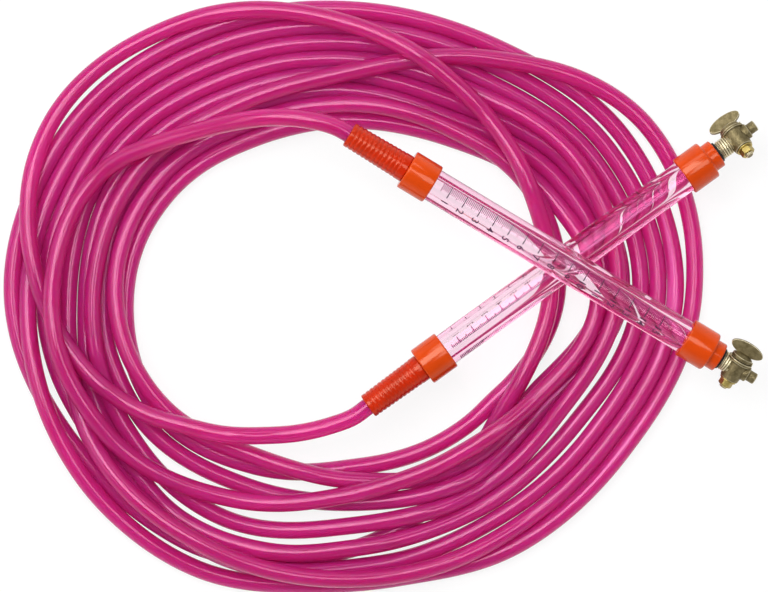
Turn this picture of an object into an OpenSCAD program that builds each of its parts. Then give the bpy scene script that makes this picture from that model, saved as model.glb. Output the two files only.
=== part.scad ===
// Water level: two clear gauge tubes with stopcocks, joined by one long coiled hose.
// Millimetres, +Z up. The origin is on the ground, at the middle of the coil.
// A gauge is drawn upright, as it is used: hose end down, valve up, its scale's zero at z = 0.

/* [Hose] */
// Outer diameter of the hose
hose_d = 10; // [8:0.5:12]
// Bore of the hose
hose_bore_d = 8; // [5:0.5:9]

/* [Coil] */
// Half the width of the outermost loop, at the middle of the hose
coil_out_x = 198; // [190:1:230]
// Half the depth of the outermost loop
coil_out_y = 166; // [160:1:200]
// Half the width of the innermost loop
coil_in_x = 129; // [110:1:132]
// Half the depth of the innermost loop
coil_in_y = 98; // [85:1:101]
// Free height between crossing strands
coil_lift = 0.7; // [0.5:0.1:2]
// Sideways lean of the upper layer over the lower one
coil_lean = 7; // [0:1:9]

/* [Gauge tube] */
// Outer diameter of the clear tube
tube_d = 19; // [16:0.5:20]
// Wall of the clear tube
tube_wall = 4.5; // [2:0.25:5]
// Length of tube that shows between the caps
tube_view = 167; // [120:1:200]
// Depth of tube inside each cap
tube_seat = 11; // [8:0.5:13]

/* [Caps] */
// Wall of a cap's sleeve round the tube
cap_wall = 2; // [1.75:0.25:4]
// Length of a cap's sleeve over the tube
cap_len = 17; // [16:0.5:22]
// Chamfer on a cap's outer edges
cap_edge = 0.6; // [0.2:0.1:1]
// Thickness of a flat seal between tube end and cap
seal_t = 1.5; // [1:0.25:2]
// Diameter of the boss that takes the stopcock
boss_d = 17; // [15:0.5:19]
// Height of the boss that takes the stopcock
boss_len = 6; // [4:0.5:9]

/* [Hose connection] */
// Step of the cap's neck outside the hose
neck_step = 1; // [0.6:0.1:1.2]
// Length of the cap's neck under the bend guard
neck_len = 4; // [3:0.5:6]
// Length of the barbed nipple inside the hose
nipple_len = 16; // [12:1:22]
// Bore of the nipple
nipple_bore_d = 5; // [3:0.5:5.5]
// Length of the ribbed bend guard
guard_len = 38; // [34:1:50]
// Wall of the bend guard at its cap end
guard_wall = 3; // [2.3:0.1:3.5]
// Wall of the bend guard at its hose end
guard_tip_wall = 2.3; // [1.6:0.1:2.6]
// Number of ribs on the bend guard
guard_ribs = 11; // [6:1:14]
// Depth of the grooves between the ribs
guard_groove = 0.9; // [0.4:0.1:1.2]

/* [Stopcock body] */
// Diameter of the threaded spigot
spigot_d = 10; // [9:0.5:12]
// Depth of the spigot in the cap
spigot_in = 10; // [6:0.5:10]
// Height of the stopcock's axis above the boss
cock_reach = 10.5; // [10.5:0.5:16]
// Waterway through the stopcock
way_d = 4; // [3:0.25:4.5]
// Diameter of the barrel at the handle end
barrel_d = 13; // [12:0.25:14]
// Diameter of the barrel at the nut end
barrel_tip_d = 11; // [10.5:0.25:12]
// Reach of the barrel towards the handle
barrel_out = 5.5; // [5:0.25:7]
// Reach of the barrel towards the nut
barrel_in = 7.5; // [6.5:0.25:9]
// Diameter of the rim at the handle end
rim_d = 15; // [14.5:0.25:17]
// Thickness of the rim
rim_t = 1.6; // [1:0.2:2.4]
// Diameter of the outlet pipe
outlet_d = 6.5; // [6:0.25:8]
// Reach of the outlet pipe from the plug's axis
outlet_reach = 13; // [12:0.5:20]

/* [Plug] */
// Diameter of the tapered plug at the handle end
plug_d = 9; // [8.5:0.1:9.4]
// Diameter of the tapered plug at the nut end
plug_tip_d = 7.4; // [7:0.1:7.8]
// Diameter of the collar under the handle
collar_d = 12.4; // [12:0.1:13]
// Thickness of the collar
collar_t = 2; // [1.6:0.1:2.6]
// Width of the thumb plate
handle_w = 20; // [16:0.5:24]
// Height of the thumb plate
handle_h = 9.6; // [8:0.2:12]
// Thickness of the thumb plate
handle_t = 3; // [2:0.25:4]
// Radius of the thumb plate's round ends
handle_end_r = 2.6; // [2:0.1:3]
// Diameter of the threaded tail
tail_d = 5; // [4:0.25:5.5]
// Length of the tail beyond the nut
tail_out = 1.5; // [0.5:0.25:3]
// Diameter of the washer
washer_d = 10; // [9.5:0.25:12]
// Thickness of the washer
washer_t = 1; // [0.6:0.1:1.6]
// Width of the nut across its flats
nut_af = 8; // [7.5:0.5:9]
// Thickness of the nut
nut_t = 3.6; // [3:0.2:5]
// Quarter turn from open to closed, in degrees
turn = 90; // [60:5:90]

/* [Layout] */
// Place of gauge A's zero mark, left to right
gauge_a_x = 45; // [40:1:50]
// Place of gauge A's zero mark, near to far
gauge_a_y = 62; // [58:1:66]
// Heading of gauge A, in degrees
gauge_a_heading = -31; // [-34:1:-28]
// Fall of gauge A towards its valve, in degrees
gauge_a_fall = 4; // [3:0.5:5]
// Lift of gauge A's handle out of the level, in degrees
gauge_a_clock = 15; // [-30:1:30]
// Place of gauge B's zero mark, left to right
gauge_b_x = 53; // [48:1:58]
// Place of gauge B's zero mark, near to far
gauge_b_y = -31; // [-34:1:-26]
// Heading of gauge B, in degrees
gauge_b_heading = 36; // [33:1:39]
// Lift of gauge B's handle out of the level, in degrees
gauge_b_clock = -25; // [-30:1:30]
// Length by which stopcock B is screwed in less far than stopcock A
cock_b_out = 3.5; // [0:0.5:4]

/* [Hidden] */
$fn = 64;

// Clearances and the overrun of every cut
fit_gap = 0.1;
taper_gap = 0.05;
rest_gap = 0.3;
overrun = 1;

// Colours
hose_colour = [0.78, 0.18, 0.45];
cap_colour = [0.88, 0.33, 0.06];
guard_colour = [0.80, 0.22, 0.06];
clear_colour = [0.96, 0.88, 0.93, 0.5];
rubber_colour = [0.08, 0.08, 0.08];
cast_colour = [0.42, 0.36, 0.24];
brass_colour = [0.80, 0.62, 0.25];

// Coil: steps, sides and turning places
coil_sides = 6;
coil_steps = 24;
coil_start_deg = 220;
coil_end_deg = 170;
coil_rounds = 10;
coil_end_share = 0.8;
coil_flat_share = 0.1;
coil_turns = coil_rounds + (coil_end_deg - coil_start_deg) / 360;
turns_in = coil_turns / (1 + coil_end_share);
coil_rings = round(coil_turns * coil_steps);
low_z = hose_d / 2 - hose_d * coil_flat_share;
high_z = low_z + hose_d + coil_lift;
coil_top = high_z + hose_d / 2;

// Free stretches of the hose, from the coil to each gauge, as the hose lies
tail_sides = 10;
tail_a_route = [
    [-167, -87, 4.5], [-180, -70, 5.5], [-190, -51, 8.5], [-196, -30, 14], [-198, -8, 20],
    [-196, 14, 24], [-189, 35, 25.5], [-178, 53, 25.5], [-163, 68, 26], [-145, 80, 28],
    [-125, 89, 31], [-104, 95, 36], [-82, 99, 42], [-60, 101, 48.5], [-41, 102, 54], [-24, 100.5, 57.5]
];
tail_b_route = [
    [-184.5, 2, 16.5], [-183, -14, 20], [-178, -29, 24], [-169, -42, 25.5], [-155, -52, 25.5],
    [-138, -60, 25.5], [-118, -67.5, 25.5], [-97, -74, 25.5], [-75, -79, 25.5], [-53, -81, 25.5],
    [-31, -79, 26.5], [-12, -73.5, 28.5]
];

// Diameters that follow the tube and the hose
cap_d = tube_d + 2 * cap_wall;
neck_d = hose_d + 2 * neck_step;
guard_d = hose_d + 2 * guard_wall;
guard_tip_d = hose_d + 2 * guard_tip_wall;

// Levels along a gauge
cap_foot = -cap_len;
neck_foot = cap_foot - neck_len;
nipple_foot = neck_foot - nipple_len;
guard_foot = cap_foot - guard_len;
valve_cap_top = tube_view + cap_len;
boss_top = valve_cap_top + boss_len;
cock_axis = boss_top + cock_reach;

// Cap details
nipple_d = hose_bore_d - 2 * taper_gap;
barb_count = 3;
barb_waist = 0.5;
boss_fillet = 1.5;

// Bend guard details
guard_lip = 3;
guard_shoulder = 5;
rib_flat_share = 0.5;

// Stopcock details
seal_ring_d = 13.4;
seal_ring_t = 2;
outlet_ring_d = 9;
outlet_ring_t = 1.4;
outlet_edge = 0.5;
lug_deg = 24;
lug_place_deg = 180;
lug_gap_deg = 2;
lug_gap = 0.5;
lug_h_share = 0.8;
outlet_foot = barrel_d / 2 + outlet_ring_t;
tail_root = barrel_in + taper_gap + washer_t;
tail_tip = tail_root + nut_t + tail_out;

// Gauge places: zero mark, heading, fall and handle lift
b_level = coil_top + tube_d / 2 + rest_gap;
cross_run = cross_distance();
a_level = b_level + tube_d + rest_gap + cross_run * sin(gauge_a_fall);
gauge_a = [[gauge_a_x, gauge_a_y, a_level], gauge_a_heading, gauge_a_fall, gauge_a_clock, 0];
gauge_b = [[gauge_b_x, gauge_b_y, b_level], gauge_b_heading, 0, gauge_b_clock, cock_b_out];

// Distance along gauge A from its zero mark to where it crosses gauge B
function cross_distance() =
    let (dx = gauge_b_x - gauge_a_x, dy = gauge_b_y - gauge_a_y)
    (dx * sin(gauge_b_heading) - dy * cos(gauge_b_heading))
        / sin(gauge_b_heading - gauge_a_heading) / cos(gauge_a_fall);

// Direction of a gauge from hose to valve, and a point along it
function gauge_dir(g) = [cos(g[2]) * cos(g[1]), cos(g[2]) * sin(g[1]), -sin(g[2])];
function gauge_point(g, level) = g[0] + gauge_dir(g) * level;

// Coil: share of the way out from the innermost loop, after u turns
function coil_share(u) = abs(turns_in - u) / turns_in;
// Coil: 0 in the lower layer, 1 in the upper one, climbing in the half turn at the reversal
function coil_climb(u) =
    let (w = min(1, max(0, 2 * (u - turns_in) + 0.5)))
    w * w * (3 - 2 * w);
function coil_point(u) =
    let (s = coil_share(u), c = coil_climb(u), a = coil_start_deg + 360 * u)
    [(coil_in_x + s * (coil_out_x - coil_in_x)) * cos(a) + coil_lean * (c - 0.5) * (1 - s),
     (coil_in_y + s * (coil_out_y - coil_in_y)) * sin(a) + coil_lean * (0.5 - c) * (1 - s),
     low_z + c * (high_z - low_z)];

function unit(v) = v / norm(v);
function chord(p, i) = unit(p[min(i + 1, len(p) - 1)] - p[max(i - 1, 0)]);

coil_mid = [for (i = [0 : coil_rings]) coil_point(i * coil_turns / coil_rings)];
coil_in_dir = unit(coil_mid[1] - coil_mid[0]);
coil_out_dir = unit(coil_mid[coil_rings] - coil_mid[coil_rings - 1]);
coil_in_end = coil_mid[0] - coil_in_dir * hose_d;
coil_out_end = coil_mid[coil_rings] + coil_out_dir * hose_d;
coil_path = concat([coil_in_end], coil_mid, [coil_out_end]);

// Least free distance of the coil to itself, on its own points
coil_gap = min([for (i = [0 : coil_rings - coil_steps / 2], j = [i + coil_steps / 2 : coil_rings])
    norm(coil_mid[i] - coil_mid[j])]) - hose_d;
echo(coil_gap = coil_gap);

// Ring of points round a path's point, square to the direction t
function ring(c, t, r, sides) =
    let (side = unit(cross([0, 0, 1], t)), up = cross(t, side))
    [for (k = [0 : sides - 1]) let (a = 360 * (k + 0.5) / sides) c + r * (cos(a) * side + sin(a) * up)];

// Tube swept along points, with given directions at its two ends
module swept_tube(path, first_dir, last_dir, r, sides) {
    n = len(path);
    dirs = [for (i = [0 : n - 1]) i == 0 ? first_dir : i == n - 1 ? last_dir : chord(path, i)];
    points = [for (i = [0 : n - 1]) each ring(path[i], dirs[i], r, sides)];
    walls = [for (i = [0 : n - 2], k = [0 : sides - 1])
        let (a = i * sides + k, b = i * sides + (k + 1) % sides)
        each [[a, a + sides, b], [b, a + sides, b + sides]]];
    near = [for (k = [1 : sides - 2]) [0, k, k + 1]];
    last = (n - 1) * sides;
    far = [for (k = [1 : sides - 2]) [last, last + k + 1, last + k]];
    polyhedron(points, concat(walls, near, far));
}

module at_gauge(g) {
    translate(g[0]) rotate([0, 90 + g[2], g[1]]) children();
}

// Stopcock frame: the plug's axis along +X, towards the handle, the waterway along Z
module at_cock(g) {
    at_gauge(g) rotate(90 + g[3]) translate([0, 0, cock_axis + g[4]]) children();
}

module along_plug(x) {
    translate([x, 0, 0]) rotate([0, 90, 0]) children();
}

module bored(outer_d, inner_d, height) {
    difference() {
        cylinder(d = outer_d, h = height);
        translate([0, 0, -overrun]) cylinder(d = inner_d, h = height + 2 * overrun);
    }
}

// The hose lies flat where it presses on the ground
module above_ground() {
    intersection() {
        children();
        translate([-coil_out_x * 2, -coil_out_y * 2, 0])
            cube([coil_out_x * 4, coil_out_y * 4, tube_view]);
    }
}

module hose_coil() {
    color(hose_colour) above_ground()
        swept_tube(coil_path, coil_in_dir, coil_out_dir, hose_d / 2, coil_sides);
}

// The hose's last straight stretch inside the bend guard, pushed over the nipple
module hose_end(g) {
    at_gauge(g) translate([0, 0, guard_foot])
        bored(hose_d + 2 * taper_gap, hose_bore_d, neck_foot - guard_foot);
}

module hose_tail(route, from, from_dir, g) {
    mouth = gauge_point(g, guard_foot);
    color(hose_colour) {
        above_ground() swept_tube(
            concat([from], route, [mouth - gauge_dir(g) * hose_d, mouth + gauge_dir(g) * overrun]),
            from_dir, gauge_dir(g), hose_d / 2, tail_sides
        );
        hose_end(g);
    }
}

module hose_tail_a() {
    hose_tail(tail_a_route, coil_in_end, -coil_in_dir, gauge_a);
}

module hose_tail_b() {
    hose_tail(tail_b_route, coil_out_end, coil_out_dir, gauge_b);
}

// Profile of the bend guard's outside, from its hose end up
function guard_r(z) = (guard_tip_d + (guard_d - guard_tip_d) * (z - guard_foot) / guard_len) / 2;
rib_pitch = (guard_len - guard_lip - guard_shoulder) / guard_ribs;
rib_rise = rib_pitch * (1 - rib_flat_share) / 2;
guard_outline = concat(
    [[0, guard_foot], [guard_r(guard_foot), guard_foot]],
    [for (i = [0 : guard_ribs - 1]) let (z = guard_foot + guard_lip + i * rib_pitch) each [
        [guard_r(z), z],
        [guard_r(z) - guard_groove, z + rib_rise],
        [guard_r(z) - guard_groove, z + 2 * rib_rise],
        [guard_r(z), z + 3 * rib_rise]
    ]],
    [[guard_r(cap_foot), cap_foot - guard_shoulder], [guard_r(cap_foot), cap_foot], [0, cap_foot]]
);

module bend_guard(g) {
    color(guard_colour) at_gauge(g) difference() {
        rotate_extrude() polygon(guard_outline);
        translate([0, 0, guard_foot - overrun])
            cylinder(d = hose_d + 2 * fit_gap, h = guard_len + 2 * overrun);
        translate([0, 0, neck_foot]) cylinder(d = neck_d + 2 * fit_gap, h = neck_len + overrun);
    }
}

// Barbed nipple, from its tip up to the neck
barb_len = nipple_len / barb_count;
nipple_outline = concat(
    [[0, nipple_foot]],
    [for (i = [0 : barb_count - 1]) each [
        [nipple_d / 2 - barb_waist, nipple_foot + i * barb_len],
        [nipple_d / 2, nipple_foot + (i + 1) * barb_len]
    ]],
    [[0, neck_foot]]
);

// Cap shell round a tube's end, its closed end at z = 0 and its mouth at z = cap_len
module cap_shell() {
    rotate_extrude() polygon([
        [0, 0], [cap_d / 2 - cap_edge, 0], [cap_d / 2, cap_edge],
        [cap_d / 2, cap_len - cap_edge], [cap_d / 2 - cap_edge, cap_len], [0, cap_len]
    ]);
}

module cap_socket() {
    translate([0, 0, cap_len - tube_seat - seal_t])
        cylinder(d = tube_d + 2 * fit_gap, h = tube_seat + seal_t + overrun);
}

module hose_cap(g) {
    color(cap_colour) at_gauge(g) difference() {
        union() {
            translate([0, 0, cap_foot]) cap_shell();
            translate([0, 0, neck_foot]) cylinder(d = neck_d, h = neck_len + cap_edge);
            rotate_extrude() polygon(nipple_outline);
        }
        translate([0, 0, cap_foot]) cap_socket();
        translate([0, 0, nipple_foot - overrun]) cylinder(d = nipple_bore_d, h = nipple_len + neck_len + cap_len);
    }
}

module hose_end_seal(g) {
    color(rubber_colour) at_gauge(g) translate([0, 0, -tube_seat - seal_t])
        bored(tube_d, tube_d - 2 * tube_wall, seal_t);
}

module valve_end_seal(g) {
    color(rubber_colour) at_gauge(g) translate([0, 0, tube_view + tube_seat])
        bored(tube_d, tube_d - 2 * tube_wall, seal_t);
}

module gauge_tube(g) {
    color(clear_colour) at_gauge(g) translate([0, 0, -tube_seat])
        bored(tube_d, tube_d - 2 * tube_wall, tube_view + 2 * tube_seat);
}

module valve_cap(g) {
    color(cap_colour) at_gauge(g) difference() {
        union() {
            translate([0, 0, valve_cap_top]) mirror([0, 0, 1]) cap_shell();
            translate([0, 0, valve_cap_top - cap_edge]) rotate_extrude() polygon([
                [0, 0], [boss_d / 2 + boss_fillet, 0], [boss_d / 2, boss_fillet],
                [boss_d / 2, boss_len], [boss_d / 2 - cap_edge, boss_len + cap_edge], [0, boss_len + cap_edge]
            ]);
        }
        translate([0, 0, valve_cap_top]) mirror([0, 0, 1]) cap_socket();
        translate([0, 0, tube_view]) cylinder(d = spigot_d + 2 * fit_gap, h = cap_len + boss_len + overrun);
    }
}

module valve_seal(g) {
    color(rubber_colour) at_gauge(g) translate([0, 0, boss_top])
        bored(seal_ring_d, spigot_d + 2 * fit_gap, seal_ring_t);
}

// Sector of a flat ring round the plug's axis, standing on x, from angle a over a sweep
module ring_sector(x, r_in, r_out, t, a, sweep) {
    along_plug(x) rotate(a) rotate_extrude(angle = sweep)
        translate([r_in, 0]) square([r_out - r_in, t]);
}

module valve_body(g) {
    color(cast_colour) at_cock(g) difference() {
        union() {
            translate([0, 0, -cock_reach - spigot_in]) cylinder(d = spigot_d, h = cock_reach + spigot_in);
            along_plug(-barrel_in) cylinder(d1 = barrel_tip_d, d2 = barrel_d, h = barrel_in + barrel_out);
            along_plug(barrel_out - rim_t) cylinder(d = rim_d, h = rim_t);
            rotate_extrude() polygon([
                [0, 0], [outlet_ring_d / 2, 0], [outlet_ring_d / 2, outlet_foot - outlet_edge],
                [outlet_ring_d / 2 - outlet_edge, outlet_foot], [outlet_d / 2, outlet_foot],
                [outlet_d / 2, outlet_reach - outlet_edge], [outlet_d / 2 - outlet_edge, outlet_reach],
                [0, outlet_reach]
            ]);
            ring_sector(barrel_out - rim_t / 2, plug_d / 2 + lug_gap, rim_d / 2 - lug_gap,
                rim_t / 2 + collar_t * lug_h_share, lug_place_deg - lug_deg / 2, lug_deg);
        }
        along_plug(-barrel_in - overrun) plug_taper(taper_gap, overrun);
        translate([0, 0, -cock_reach - spigot_in - overrun])
            cylinder(d = way_d, h = cock_reach + spigot_in + outlet_reach + 2 * overrun);
    }
}

// Taper of the plug, grown by a gap and past both ends of the barrel
module plug_taper(gap, past) {
    slope = (plug_d - plug_tip_d) / (barrel_in + barrel_out);
    cylinder(d1 = plug_tip_d + 2 * gap - slope * past, d2 = plug_d + 2 * gap + slope * past,
        h = barrel_in + barrel_out + 2 * past);
}

// Thumb plate's outline: two wide arcs that run into two round ends
module handle_outline() {
    reach = handle_w / 2 - handle_end_r;
    rise = handle_h / 2 - handle_end_r;
    drop = (reach * reach - rise * rise) / (2 * rise);
    arc_r = drop + handle_h / 2;
    run = reach * arc_r / (arc_r - handle_end_r);
    intersection() {
        translate([0, -drop]) circle(r = arc_r);
        translate([0, drop]) circle(r = arc_r);
        square([2 * run, handle_h], center = true);
    }
    for (side = [-1, 1]) translate([side * reach, 0]) circle(r = handle_end_r);
}

module valve_plug(g) {
    collar_foot = barrel_out + rest_gap;
    notch = turn + lug_deg + 2 * lug_gap_deg;
    color(cast_colour) at_cock(g) difference() {
        union() {
            along_plug(-barrel_in) plug_taper(0, 0);
            along_plug(barrel_out) cylinder(d = plug_d, h = rest_gap);
            along_plug(collar_foot) cylinder(d = collar_d, h = collar_t);
            translate([collar_foot + handle_h / 2 + collar_t / 2, handle_t / 2, 0]) rotate([90, 0, 0])
                linear_extrude(handle_t) rotate(90) handle_outline();
            along_plug(-tail_tip) cylinder(d = tail_d, h = tail_tip);
        }
        ring_sector(collar_foot - overrun, plug_d / 2 + lug_gap / 2, collar_d,
            collar_t + overrun + fit_gap, lug_place_deg - lug_deg / 2 - lug_gap_deg - turn, notch);
        translate([0, 0, -barrel_d]) cylinder(d = way_d, h = 2 * barrel_d);
    }
}

module plug_washer(g) {
    color(brass_colour) at_cock(g) along_plug(-tail_root) bored(washer_d, tail_d + 2 * fit_gap, washer_t);
}

module plug_nut(g) {
    color(brass_colour) at_cock(g) along_plug(-tail_root - nut_t) difference() {
        cylinder(d = nut_af / cos(30), h = nut_t, $fn = 6);
        translate([0, 0, -overrun]) cylinder(d = tail_d + 2 * fit_gap, h = nut_t + 2 * overrun);
    }
}

hose_coil();
hose_tail_a();
hose_tail_b();
bend_guard(gauge_a);  // bend_guard_a
hose_cap(gauge_a);  // hose_cap_a
hose_end_seal(gauge_a);  // hose_end_seal_a
gauge_tube(gauge_a);  // gauge_tube_a
valve_end_seal(gauge_a);  // valve_end_seal_a
valve_cap(gauge_a);  // valve_cap_a
valve_seal(gauge_a);  // valve_seal_a
valve_body(gauge_a);  // valve_body_a
valve_plug(gauge_a);  // valve_plug_a
plug_washer(gauge_a);  // plug_washer_a
plug_nut(gauge_a);  // plug_nut_a
bend_guard(gauge_b);  // bend_guard_b
hose_cap(gauge_b);  // hose_cap_b
hose_end_seal(gauge_b);  // hose_end_seal_b
gauge_tube(gauge_b);  // gauge_tube_b
valve_end_seal(gauge_b);  // valve_end_seal_b
valve_cap(gauge_b);  // valve_cap_b
valve_seal(gauge_b);  // valve_seal_b
valve_body(gauge_b);  // valve_body_b
valve_plug(gauge_b);  // valve_plug_b
plug_washer(gauge_b);  // plug_washer_b
plug_nut(gauge_b);  // plug_nut_b
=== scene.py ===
# Water level: one long dyed hose in a loose coil, with a graduated clear tube and a stopcock at each end.
# Metres, +Z up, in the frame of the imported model. Local sizes of a gauge are worked out in millimetres.
import math
from types import SimpleNamespace

import bmesh
import bpy
import numpy as np
from bpy.props import FloatProperty, FloatVectorProperty, IntProperty, PointerProperty
from mathutils import Matrix, Vector


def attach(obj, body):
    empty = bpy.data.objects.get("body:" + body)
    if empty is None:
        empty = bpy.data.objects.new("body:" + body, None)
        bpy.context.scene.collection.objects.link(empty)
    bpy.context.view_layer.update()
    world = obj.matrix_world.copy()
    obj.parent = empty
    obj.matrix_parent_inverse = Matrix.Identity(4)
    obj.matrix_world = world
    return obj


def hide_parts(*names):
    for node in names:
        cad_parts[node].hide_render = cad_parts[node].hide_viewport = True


bl_info = {
    "name": "Water Level",
    "version": (1, 0, 0),
    "blender": (4, 5, 0),
    "location": "View3D > Sidebar > Water Level",
    "description": "Hose water level with graduated tubes and stopcocks",
    "category": "Add Mesh",
}

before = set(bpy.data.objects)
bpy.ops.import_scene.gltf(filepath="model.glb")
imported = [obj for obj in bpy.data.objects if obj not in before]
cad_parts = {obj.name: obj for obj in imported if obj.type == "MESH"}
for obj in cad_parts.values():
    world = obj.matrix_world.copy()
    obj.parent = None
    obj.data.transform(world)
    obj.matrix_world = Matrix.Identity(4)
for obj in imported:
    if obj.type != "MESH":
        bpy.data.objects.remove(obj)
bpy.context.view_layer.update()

MM = 0.001
PER_METRE = 1000
SIDES = ("a", "b")
# Clearance between pieces that fit into each other, in mm
FIT_GAP = 0.1
TAPER_GAP = 0.05

# Places of the gauges as in the part's source: zero mark in mm, heading, fall and handle lift in degrees,
# and the length in mm by which the stopcock is screwed in less far
GAUGE_PLACES = {
    "a": ((45.0, 62.0, 54.8728), -31.0, 4.0, 15.0, 0.0),
    "b": ((53.0, -31.0, 29.5), 36.0, 0.0, -25.0, 3.5),
}

# Route of the hose from gauge A, as in the photo: place in mm
TAIL_A_ROUTE = [
    (-26, 98.5, 59), (-47.6, 99.8, 56), (-69.5, 97, 53), (-91.3, 92, 52), (-113, 85.6, 53),
]
# Route of the hose to gauge B, as in the photo: place in mm
TAIL_B_ROUTE = [
    (-118, -67.5, 54), (-97, -74, 46), (-75, -79, 36), (-53, -80, 27.5), (-31, -78.5, 27), (-12, -74, 29),
]
# Distance of each loop from the middle of the coil in mm, every 30 degrees from the right, in the order of the hose
LOOP_STEP = 30
LOOPS = [
    (150, [154, 172, 161.5, 135, 113, 110, 120]),
    (0, [141, 125, 105.5, 102, 113, 127, 132, 130, 113, 100, 99, 105.5]),
    (0, [117, 120, 111, 112, 118, 132, 136, 127, 108, 106, 116, 117]),
    (0, [146, 134, 118, 118, 122, 138, 147, 141.5, 126, 119, 123, 127]),
    (0, [150, 143, 125, 123, 129.5, 147, 149.5, 163, 164, 145, 141, 147]),
    (0, [166, 158, 142, 146, 154.5, 170, 178, 168, 166, 158, 152.5, 161]),
    (0, [174.5, 168, 153, 150, 166, 179, 187, 186, 180.5, 162, 166.5, 175]),
    (0, [195, 194, 156, 128, 127, 142, 149, 152, 148, 131.8, 130, 133.5]),
    (0, [151, 149, 136, 140.5, 144, 160, 163, 171, 166, 162.5, 165.5, 169]),
    (0, [184, 179.5, 163, 159, 171, 185.5, 194, 181, 166, 146, 122, 109]),
    (0, [113, 117, 131, 154, 181.5, 199, 178]),
]
# Order in which the loops lie on each other, the lowest first
LOOP_ORDER = [12, 2, 3, 4, 5, 6, 7, 10, 8, 1, 11]
# Height in mm between loops before they sink
LOOP_DROP = 4.0


def real(description, default, **more):
    return FloatProperty(description=description, default=default, **more)


def length(description, default):
    return real(description, default, min=0.0, unit="LENGTH", precision=5)


def whole(description, default, least):
    return IntProperty(description=description, default=default, min=least)


def colour(description, red, green, blue):
    tone = (red, green, blue, 1.0)
    return FloatVectorProperty(description=description, default=tone, size=4, min=0.0, max=1.0, subtype="COLOR")


def titled(group):
    """Name each property of a group after its own identifier."""
    for key, prop in group.__annotations__.items():
        prop.keywords["name"] = key.replace("_", " ").title()
    return group


@titled
class WATERLEVEL_PG_hose(bpy.types.PropertyGroup):
    diameter: length("Outer diameter of the hose", 0.010)
    ring_step: length("Distance between the places at which the hose is laid", 0.004)
    ring_sides: whole("Sides of each ring", 24, 6)
    ring_share: real("Distance between the rings of the mesh as a share of the step", 0.75, min=0.1)
    settle_steps: whole("Steps in which the loops sink onto each other", 300, 1)
    sink: length("Fall of the loops in the first step", 0.0008)
    hold: real("Share of a sideways push that a loop keeps", 0.9, min=0.0, max=1.0)


@titled
class WATERLEVEL_PG_gauge(bpy.types.PropertyGroup):
    tube_diameter: length("Outer diameter of the clear tube", 0.019)
    tube_wall: length("Wall of the clear tube", 0.0045)
    tube_view: length("Length of tube between the caps", 0.167)
    tube_seat: length("Depth of tube in each cap", 0.011)
    seal: length("Thickness of the seal at a tube's end", 0.0015)
    cap_diameter: length("Outer diameter of a cap", 0.023)
    cap_length: length("Length of a cap", 0.017)
    cap_edge: length("Radius of a cap's edges", 0.0009)
    boss_diameter: length("Diameter of the valve cap's boss", 0.017)
    boss_length: length("Height of the valve cap's boss", 0.006)
    neck_diameter: length("Diameter of the hose cap's neck", 0.012)
    neck_length: length("Length of the hose cap's neck", 0.004)
    nipple_length: length("Length of the barbed nipple", 0.016)
    guard_length: length("Length of the bend guard", 0.038)
    guard_diameter: length("Diameter of the bend guard at the cap", 0.016)
    guard_tip_diameter: length("Diameter of the bend guard at the hose", 0.0146)
    guard_groove: length("Depth between the ribs of the bend guard", 0.0003)
    guard_ribs: whole("Number of ribs on the bend guard", 11, 1)


@titled
class WATERLEVEL_PG_scale(bpy.types.PropertyGroup):
    first: whole("First mark above zero, in millimetres", 5, 0)
    last: whole("Last mark above zero, in millimetres", 155, 1)
    fine: length("Length of a millimetre mark", 0.0042)
    half: length("Length of a five millimetre mark", 0.0053)
    long: length("Length of a centimetre mark", 0.0071)
    stroke: length("Width of a millimetre mark", 0.00042)
    far_fine: length("Length of a millimetre mark on tube B, whose print shows through the tube", 0.0024)
    far_stroke: length("Width of a millimetre mark on tube B", 0.00068)
    bold: length("Growth of the numerals' strokes", 0.00006)
    left: length("Distance of the marks' left ends from the front line", 0.0043)
    numeral: length("Letter size of the numerals", 0.0061)
    numeral_place: length("Distance of the numerals right of the front line", 0.0056)
    print_gap: length("Height of the print on the tube", 0.00006)
    turn_a: real("Turn of the scale about tube A", 0.0, subtype="ANGLE")
    turn_b: real("Turn of the scale about tube B", 3.3, subtype="ANGLE")


@titled
class WATERLEVEL_PG_valve(bpy.types.PropertyGroup):
    reach: length("Height of the plug's axis above the boss", 0.0105)
    spigot_diameter: length("Diameter of the threaded spigot", 0.010)
    thread_diameter: length("Diameter of the thread that shows", 0.0114)
    spigot_depth: length("Depth of the spigot in the cap", 0.010)
    way: length("Bore through the stopcock", 0.004)
    barrel_diameter: length("Diameter of the barrel at the handle", 0.013)
    barrel_tip_diameter: length("Diameter of the barrel at the nut", 0.011)
    barrel_out: length("Reach of the barrel towards the handle", 0.0055)
    barrel_in: length("Reach of the barrel towards the nut", 0.0075)
    rim_diameter: length("Diameter of the barrel's rim", 0.015)
    rim: length("Thickness of the barrel's rim", 0.0016)
    outlet_diameter: length("Diameter of the outlet pipe", 0.0065)
    outlet_reach: length("Reach of the outlet pipe", 0.013)
    outlet_ring_diameter: length("Diameter of the outlet's root", 0.009)
    plug_diameter: length("Diameter of the plug at the handle", 0.009)
    plug_tip_diameter: length("Diameter of the plug at the nut", 0.0074)
    collar_diameter: length("Diameter of the collar under the handle", 0.0124)
    collar: length("Thickness of the collar", 0.002)
    plate_width: length("Width of the thumb plate", 0.020)
    plate_height: length("Height of the thumb plate", 0.0096)
    plate: length("Thickness of the thumb plate", 0.003)
    tail_diameter: length("Diameter of the threaded tail", 0.005)
    tail_out: length("Length of the tail beyond the nut", 0.0015)
    washer_diameter: length("Diameter of the washer", 0.010)
    washer: length("Thickness of the washer", 0.001)
    nut_flats: length("Width of the nut across its flats", 0.0071)
    nut: length("Thickness of the nut", 0.0036)
    seal_diameter: length("Diameter of the black ring", 0.0126)
    seal: length("Thickness of the black ring", 0.0014)


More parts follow.
